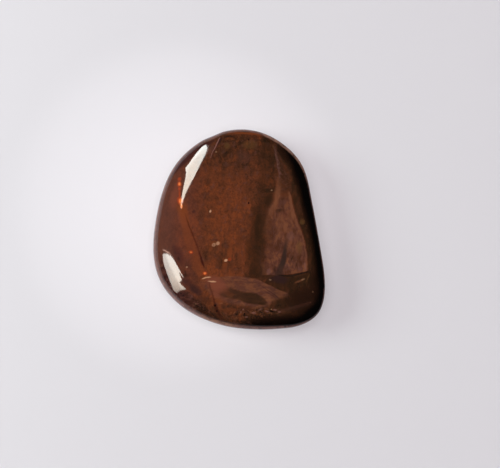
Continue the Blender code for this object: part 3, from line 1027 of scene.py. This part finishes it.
# Outlines of the two windows' reflections, and of a thin one beside the lower, in pixels.
UPPER_WINDOW = [
    (205.5, 144.7), (207.0, 146.8), (207.2, 149.5), (205.5, 153.8), (202.1, 160.8), (197.9, 169.8),
    (193.6, 178.0), (189.4, 185.6), (185.8, 193.5), (183.0, 200.8), (181.2, 207.4), (181.1, 203.2),
    (182.1, 194.7), (183.9, 185.6), (185.5, 178.3), (186.1, 172.3), (185.3, 168.0), (188.8, 163.8),
    (193.6, 157.1), (198.5, 150.8), (202.1, 146.8),
]
LOWER_WINDOW = [
    (163.7, 253.5), (166.7, 253.8), (170.8, 255.9), (173.8, 259.5), (176.8, 264.9), (179.5, 269.9),
    (181.5, 273.6), (183.3, 277.3), (182.5, 277.0), (180.9, 274.2), (179.2, 272.0), (180.3, 276.2),
    (182.0, 279.9), (180.1, 281.6), (179.8, 283.0), (182.8, 286.0), (186.5, 289.3), (183.5, 289.7),
    (179.5, 290.7), (176.8, 293.0), (173.8, 290.7), (171.4, 284.7), (168.8, 278.0), (166.1, 270.6),
    (163.7, 263.2), (162.9, 257.9), (162.9, 254.5),
]
WINDOW_EDGE = [
    (162.5, 249.2), (165.4, 250.2), (168.8, 252.2), (171.6, 255.0), (171.0, 255.5), (168.3, 253.3),
    (165.2, 251.3), (162.6, 250.3),
]

# How each of them glows: along a line in the picture, in shares of its length, and across it.
UPPER_LOOK = {
    "line": ((206.5, 145.5), (181.2, 207.4)),
    "along": [(0.0, 1.10), (0.2, 1.08), (0.4, 0.96), (0.8, 0.94), (1.0, 0.80)],
    "across": [(-0.11, 1.00), (-0.04, 0.86)],
    "colors": ((0.95, 1.0, 0.96), (1.0, 0.92, 0.78)),
    "strength": 19.0,
}
LOWER_LOOK = {
    "line": ((163.5, 253.5), (181.0, 292.0)),
    "along": [(0.0, 1.0), (0.62, 1.0), (0.85, 0.75), (1.0, 0.45)],
    "across": [(-0.10, 0.50), (-0.04, 0.60), (0.02, 0.70), (0.09, 0.98), (0.16, 0.92)],
    "colors": ((1.0, 0.99, 0.92), (1.0, 0.94, 0.80)),
    "strength": 17.0,
}
EDGE_LOOK = {
    "line": ((162.5, 249.7), (171.3, 255.3)),
    "along": [(0.0, 0.5), (0.5, 1.0), (1.0, 0.6)],
    "across": [(0.0, 1.0), (1.0, 1.0)],
    "colors": ((1.0, 0.62, 0.48), (1.0, 0.62, 0.48)),
    "strength": 10.0,
}


def soft_light(name, azimuth, elevation, distance, size, power, color):
    lamp = bpy.data.lights.new(name, "AREA")
    lamp.shape = "DISK"
    lamp.size = size * MM
    lamp.energy = power
    lamp.color = color
    holder = bpy.data.objects.new(name, lamp)
    holder.location = direction(azimuth, elevation) * distance * MM
    holder.rotation_euler = direction(azimuth, elevation).to_track_quat("Z", "Y").to_euler()
    holder.visible_glossy = False
    holder.visible_camera = False
    bpy.context.scene.collection.objects.link(holder)


def pale_material():
    """A pale sheet; around the slab it is darker but glows, painted light that lifts the slab's
    shadow and tints it pink.
    """
    material = bpy.data.materials.new("pale_floor")
    material.use_nodes = True
    graph = Graph(material.node_tree)
    shader = material.node_tree.nodes["Principled BSDF"]
    shader.inputs["Roughness"].default_value = 0.9
    shader.inputs["Specular IOR Level"].default_value = 0.0
    shader.inputs["Emission Color"].default_value = (*PAINTED_FLOOR_LIGHT_COLOR, 1)
    place = graph.scaled(graph.node("TexCoord", {}, "Object"), 1 / MM)
    offset = graph.vector("SUBTRACT", place, PAINTED_FLOOR_LIGHT_MIDDLE)
    away = graph.vector("LENGTH", offset, output=1)
    pale = graph.blend(graph.fade(away, *FLOOR_FADE), FLOOR_FAR, FLOOR_NEAR)
    graph.feed(shader.inputs["Base Color"], pale)
    graph.feed(shader.inputs["Emission Strength"], graph.curve(away, PAINTED_FLOOR_LIGHT))
    return material


def turned(name, profile, material):
    """A surface of revolution about Z from (radius, height) pairs."""
    points, faces = [], []
    for radius, height in profile:
        for k in range(STAGE_SEGMENTS):
            turn = 2 * math.pi * k / STAGE_SEGMENTS
            place = (radius * math.cos(turn), radius * math.sin(turn), height)
            points.append([length * MM for length in place])
    for row in range(len(profile) - 1):
        a, b = row * STAGE_SEGMENTS, (row + 1) * STAGE_SEGMENTS
        for k in range(STAGE_SEGMENTS):
            j = (k + 1) % STAGE_SEGMENTS
            faces.append((a + k, a + j, b + j, b + k))
    mesh = bpy.data.meshes.new(name)
    mesh.from_pydata(points, [], faces)
    mesh.shade_smooth()
    mesh.materials.append(material)
    piece = bpy.data.objects.new(name, mesh)
    bpy.context.scene.collection.objects.link(piece)
    return piece


def stage(stone):
    pale = pale_material()
    turned("floor", [(0.0, 0.0), (FLOOR_RADIUS, 0.0)], pale)
    wall = []
    for k in range(COVE_STEPS + 1):
        bend = math.pi / 2 * k / COVE_STEPS
        out, up = math.sin(bend), 1 - math.cos(bend)
        wall.append((FLOOR_RADIUS + COVE_RADIUS * out, COVE_RADIUS * up))
    wall.append((FLOOR_RADIUS + COVE_RADIUS, WALL_TOP))
    backdrop = turned("backdrop", wall, pale)
    backdrop.visible_glossy = False
    bounce = mirrored(stone.data)
    reflected_card("upper_window", UPPER_WINDOW, bounce, UPPER_LOOK)
    reflected_card("lower_window", LOWER_WINDOW, bounce, LOWER_LOOK)
    reflected_card("window_edge", WINDOW_EDGE, bounce, EDGE_LOOK)
    for row in LIGHTS:
        soft_light(*row)
    world = bpy.data.worlds.new("dim_room")
    bpy.context.scene.world = world
    world.use_nodes = True
    world.node_tree.nodes["Background"].inputs["Color"].default_value = (*ROOM, 1)


def camera():
    lens = bpy.data.cameras.new("camera")
    lens.sensor_width = SENSOR_WIDTH
    lens.lens = lens.sensor_width / 2 / math.tan(math.radians(FIELD_OF_VIEW / 2))
    lens.clip_start = CLIP_START * MM
    holder = bpy.data.objects.new("camera", lens)
    holder.location = camera_place()
    holder.rotation_euler = camera_turn().to_euler()
    bpy.context.scene.collection.objects.link(holder)
    bpy.context.scene.camera = holder


def main():
    stone = stone_piece()
    stone.data.materials.append(stone_material())
    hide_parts("mookaite_slab")
    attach(stone, "root")
    stage(stone)
    camera()
    bpy.context.scene.view_settings.view_transform = "Standard"


main()
